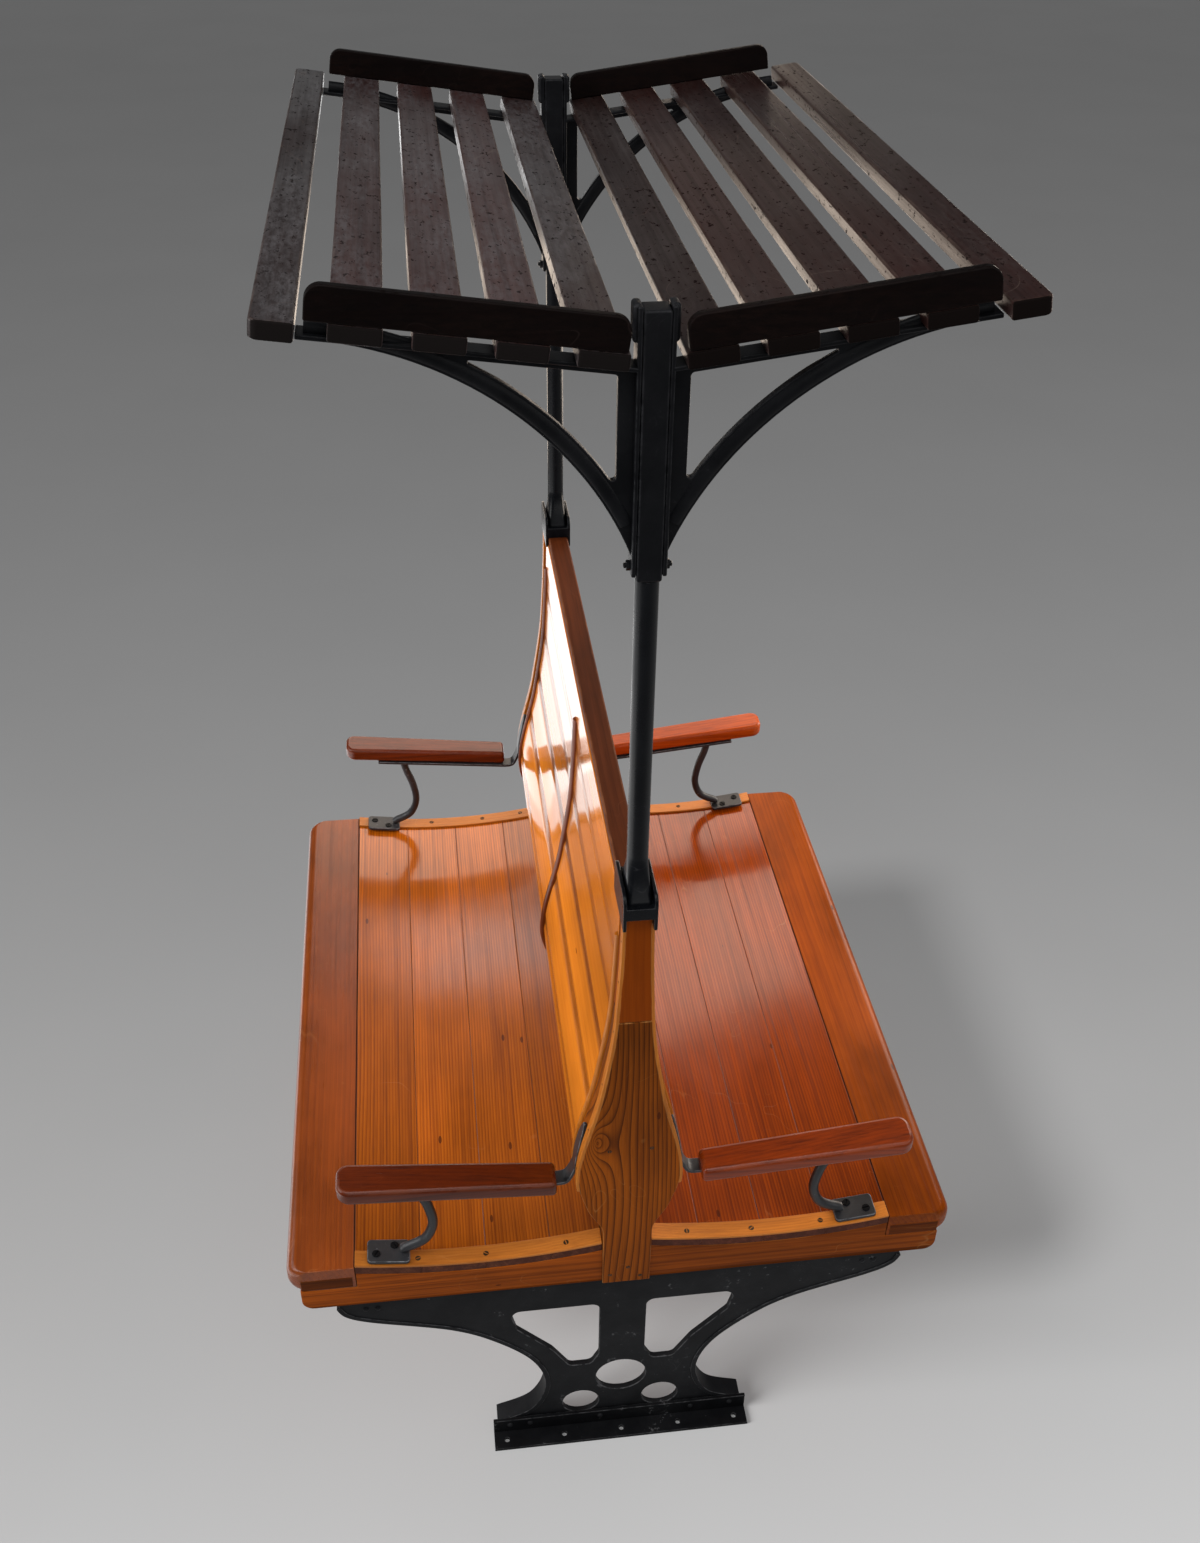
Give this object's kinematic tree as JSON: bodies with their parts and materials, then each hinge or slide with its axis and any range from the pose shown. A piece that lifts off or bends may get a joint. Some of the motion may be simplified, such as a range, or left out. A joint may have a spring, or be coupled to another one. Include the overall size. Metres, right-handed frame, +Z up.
{
  "type": "train bench with luggage rack",
  "caption": "Double-sided wooden railway bench with a curved shared back, armrests, cast-iron pedestals and a slatted V-shaped luggage rack on posts over the back.",
  "frame": {"origin": "on the floor, under the middle of the bench", "axes": "+X across the bench, in the sitting direction of the right-hand seat; +Y along the length of the bench, away from the near end; +Z up"},
  "size_m": [1.008, 1.1366, 1.9252],
  "materials": {
    "black_iron": "black paint, satin, worn at the edges",
    "pipe_iron": "dark blue-grey paint, satin",
    "oak": "oak with strong dark grain, varnished",
    "post_wood": "plain brown wood, varnished",
    "lining_pine": "orange-yellow pine, gloss varnish",
    "seat_pine": "reddish straight-grained pine, gloss varnish",
    "nosing_wood": "plain reddish-brown wood, gloss varnish",
    "rail_wood": "reddish-brown wood, satin varnish",
    "batten_pine": "light yellow-orange pine, satin varnish",
    "cap_wood": "dark brown wood, satin varnish",
    "pad_wood": "mahogany-coloured wood, gloss varnish",
    "slat_wood": "very dark oxblood stain, semi-gloss, worn",
    "fence_wood": "near-black brown stain, semi-gloss"
  },
  "bodies": {
    "root": {"arm_iron_far_left": "black_iron", "arm_iron_far_right": "black_iron", "arm_iron_near_left": "black_iron", "arm_iron_near_right": "black_iron", "arm_pad_far_left": "pad_wood", "arm_pad_far_right": "pad_wood", "arm_pad_near_left": "pad_wood", "arm_pad_near_right": "pad_wood", "back_lining_left": "lining_pine", "back_lining_right": "lining_pine", "back_post_far": "oak", "back_post_near": "oak", "back_post_top_far": "post_wood", "back_post_top_near": "post_wood", "cap_rail": "cap_wood", "end_rail_far": "rail_wood", "end_rail_near": "rail_wood", "floor_angle_far": "black_iron", "floor_angle_near": "black_iron", "middle_bearer": "rail_wood", "middle_post": "rail_wood", "pedestal_far": "black_iron", "pedestal_near": "black_iron", "rack_bracket_far_left": "black_iron", "rack_bracket_far_right": "black_iron", "rack_bracket_near_left": "black_iron", "rack_bracket_near_right": "black_iron", "rack_fence_far_left": "fence_wood", "rack_fence_far_right": "fence_wood", "rack_fence_near_left": "fence_wood", "rack_fence_near_right": "fence_wood", "rack_post_far": "pipe_iron", "rack_post_near": "pipe_iron", "rack_slat_left_1": "slat_wood", "rack_slat_left_2": "slat_wood", "rack_slat_left_3": "slat_wood", "rack_slat_left_4": "slat_wood", "rack_slat_left_outer": "slat_wood", "rack_slat_right_1": "slat_wood", "rack_slat_right_2": "slat_wood", "rack_slat_right_3": "slat_wood", "rack_slat_right_4": "slat_wood", "rack_slat_right_outer": "slat_wood", "rack_upright_far": "black_iron", "rack_upright_near": "black_iron", "seat_batten_far_left": "batten_pine", "seat_batten_far_right": "batten_pine", "seat_batten_near_left": "batten_pine", "seat_batten_near_right": "batten_pine", "seat_board_left_1": "seat_pine", "seat_board_left_2": "seat_pine", "seat_board_left_3": "seat_pine", "seat_board_left_4": "seat_pine", "seat_board_right_1": "seat_pine", "seat_board_right_2": "seat_pine", "seat_board_right_3": "seat_pine", "seat_board_right_4": "seat_pine", "seat_nosing_left": "nosing_wood", "seat_nosing_right": "nosing_wood"}
  },
  "joints": []
}
